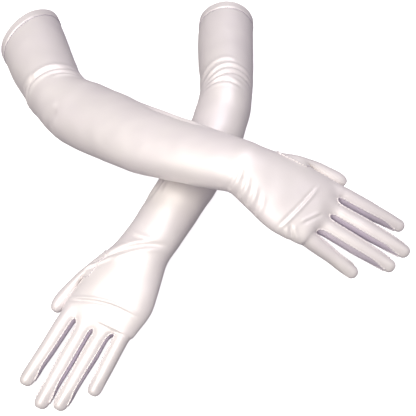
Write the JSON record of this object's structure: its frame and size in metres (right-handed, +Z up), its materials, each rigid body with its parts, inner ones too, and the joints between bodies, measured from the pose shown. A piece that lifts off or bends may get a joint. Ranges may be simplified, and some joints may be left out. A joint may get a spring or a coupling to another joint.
{
  "type": "pair of opera gloves",
  "caption": "Pair of over-the-elbow stretch-satin gloves in their worn shape, lying crossed, with fourchettes, set-in thumbs and hemmed mouths.",
  "frame": {"origin": "under the middle of the pair, on the surface that it lies on", "axes": "+Z up, -Y towards the fingers of both gloves, +X towards the right glove's hand"},
  "size_m": [0.471, 0.5022, 0.1247],
  "materials": {
    "satin": "white stretch satin",
    "elastic": "woven elastic tape"
  },
  "bodies": {
    "left_forearm": {"left_forearm_sleeve": "satin"},
    "left_upper_arm": {"left_upper_sleeve": "satin", "left_hem_elastic": "elastic", "left_hem_facing": "satin"},
    "left_hand": {"left_hand_back": "satin", "left_hand_palm": "satin"},
    "left_thumb": {"left_thumb": "satin"},
    "left_finger_roots": {"left_index_root": "satin", "left_index_root_fourchette_little_side": "satin", "left_middle_root": "satin", "left_middle_root_fourchette_thumb_side": "satin", "left_middle_root_fourchette_little_side": "satin", "left_ring_root": "satin", "left_ring_root_fourchette_thumb_side": "satin", "left_ring_root_fourchette_little_side": "satin", "left_little_root": "satin", "left_little_root_fourchette_thumb_side": "satin"},
    "left_index_tip": {"left_index_tip": "satin", "left_index_tip_fourchette_little_side": "satin"},
    "left_middle_tip": {"left_middle_tip": "satin", "left_middle_tip_fourchette_thumb_side": "satin", "left_middle_tip_fourchette_little_side": "satin"},
    "left_ring_tip": {"left_ring_tip": "satin", "left_ring_tip_fourchette_thumb_side": "satin", "left_ring_tip_fourchette_little_side": "satin"},
    "left_little_tip": {"left_little_tip": "satin", "left_little_tip_fourchette_thumb_side": "satin"},
    "right_forearm": {"right_forearm_sleeve": "satin"},
    "right_upper_arm": {"right_upper_sleeve": "satin", "right_hem_elastic": "elastic", "right_hem_facing": "satin"},
    "right_hand": {"right_hand_back": "satin", "right_hand_palm": "satin"},
    "right_thumb": {"right_thumb": "satin"},
    "right_finger_roots": {"right_index_root": "satin", "right_index_root_fourchette_little_side": "satin", "right_middle_root": "satin", "right_middle_root_fourchette_thumb_side": "satin", "right_middle_root_fourchette_little_side": "satin", "right_ring_root": "satin", "right_ring_root_fourchette_thumb_side": "satin", "right_ring_root_fourchette_little_side": "satin", "right_little_root": "satin", "right_little_root_fourchette_thumb_side": "satin"},
    "right_index_tip": {"right_index_tip": "satin", "right_index_tip_fourchette_little_side": "satin"},
    "right_middle_tip": {"right_middle_tip": "satin", "right_middle_tip_fourchette_thumb_side": "satin", "right_middle_tip_fourchette_little_side": "satin"},
    "right_ring_tip": {"right_ring_tip": "satin", "right_ring_tip_fourchette_thumb_side": "satin", "right_ring_tip_fourchette_little_side": "satin"},
    "right_little_tip": {"right_little_tip": "satin", "right_little_tip_fourchette_thumb_side": "satin"}
  },
  "joints": [
    {"name": "left_elbow", "type": "hinge", "parent": "left_forearm", "child": "left_upper_arm", "pos_m": [0.05995, 0.12008, 0.0365], "axis": [0, 0, 1], "range_deg": [-25, 55]},
    {"name": "left_wrist", "type": "hinge", "parent": "left_forearm", "child": "left_hand", "pos_m": [-0.03705, -0.08793, 0.0215], "axis": [0.8806, -0.4719, -0.0417], "range_deg": [-45, 60]},
    {"name": "left_thumb_swing", "type": "hinge", "parent": "left_hand", "child": "left_thumb", "pos_m": [-0.08503, -0.10701, 0.01534], "axis": [0.0054, 0.098, -0.9952], "range_deg": [0, 40]},
    {"name": "left_base_knuckles", "type": "hinge", "parent": "left_hand", "child": "left_finger_roots", "pos_m": [-0.07281, -0.15408, 0.01479], "axis": [0.9314, -0.3626, -0.0307], "range_deg": [-5, 70]},
    {"name": "left_index_middle_knuckle", "type": "hinge", "parent": "left_finger_roots", "child": "left_index_tip", "pos_m": [-0.12008, -0.18138, 0.01281], "axis": [0.879, -0.475, -0.042], "range_deg": [0, 55]},
    {"name": "left_middle_middle_knuckle", "type": "hinge", "parent": "left_finger_roots", "child": "left_middle_tip", "pos_m": [-0.10434, -0.19879, 0.01162], "axis": [0.9072, -0.4191, -0.0364], "range_deg": [0, 55]},
    {"name": "left_ring_middle_knuckle", "type": "hinge", "parent": "left_finger_roots", "child": "left_ring_tip", "pos_m": [-0.0859, -0.2031, 0.01124], "axis": [0.8927, -0.4488, -0.0394], "range_deg": [0, 55]},
    {"name": "left_little_middle_knuckle", "type": "hinge", "parent": "left_finger_roots", "child": "left_little_tip", "pos_m": [-0.06, -0.19652, 0.01148], "axis": [0.9094, -0.4144, -0.0359], "range_deg": [0, 55]},
    {"name": "right_glove_lift", "type": "slide", "parent": "left_forearm", "child": "right_forearm", "axis": [0, 0, 1], "range_m": [0, 0.15]},
    {"name": "right_elbow", "type": "hinge", "parent": "right_forearm", "child": "right_upper_arm", "pos_m": [-0.13577, 0.09392, 0.0365], "axis": [0, 0, -1], "range_deg": [-25, 55]},
    {"name": "right_wrist", "type": "hinge", "parent": "right_forearm", "child": "right_hand", "pos_m": [0.06951, -0.03585, 0.10375], "axis": [0.4783, 0.8773, 0.0406], "range_deg": [-45, 30]},
    {"name": "right_thumb_swing", "type": "hinge", "parent": "right_hand", "child": "right_thumb", "pos_m": [0.1187, -0.02447, 0.09127], "axis": [0.1997, -0.1536, 0.9677], "range_deg": [0, 40]},
    {"name": "right_base_knuckles", "type": "hinge", "parent": "right_hand", "child": "right_finger_roots", "pos_m": [0.13408, -0.07018, 0.08497], "axis": [0.5781, 0.8159, 0.0102], "range_deg": [-5, 70]},
    {"name": "right_index_middle_knuckle", "type": "hinge", "parent": "right_finger_roots", "child": "right_index_tip", "pos_m": [0.18876, -0.0616, 0.07174], "axis": [0.3894, 0.9187, 0.0655], "range_deg": [0, 55]},
    {"name": "right_middle_middle_knuckle", "type": "hinge", "parent": "right_finger_roots", "child": "right_middle_tip", "pos_m": [0.18548, -0.08682, 0.07308], "axis": [0.4783, 0.8773, 0.0406], "range_deg": [0, 55]},
    {"name": "right_ring_middle_knuckle", "type": "hinge", "parent": "right_finger_roots", "child": "right_ring_tip", "pos_m": [0.17119, -0.10227, 0.07222], "axis": [0.4857, 0.8733, 0.0384], "range_deg": [0, 55]},
    {"name": "right_little_middle_knuckle", "type": "hinge", "parent": "right_finger_roots", "child": "right_little_tip", "pos_m": [0.14471, -0.1103, 0.07027], "axis": [0.5166, 0.8558, 0.0292], "range_deg": [0, 55]}
  ]
}
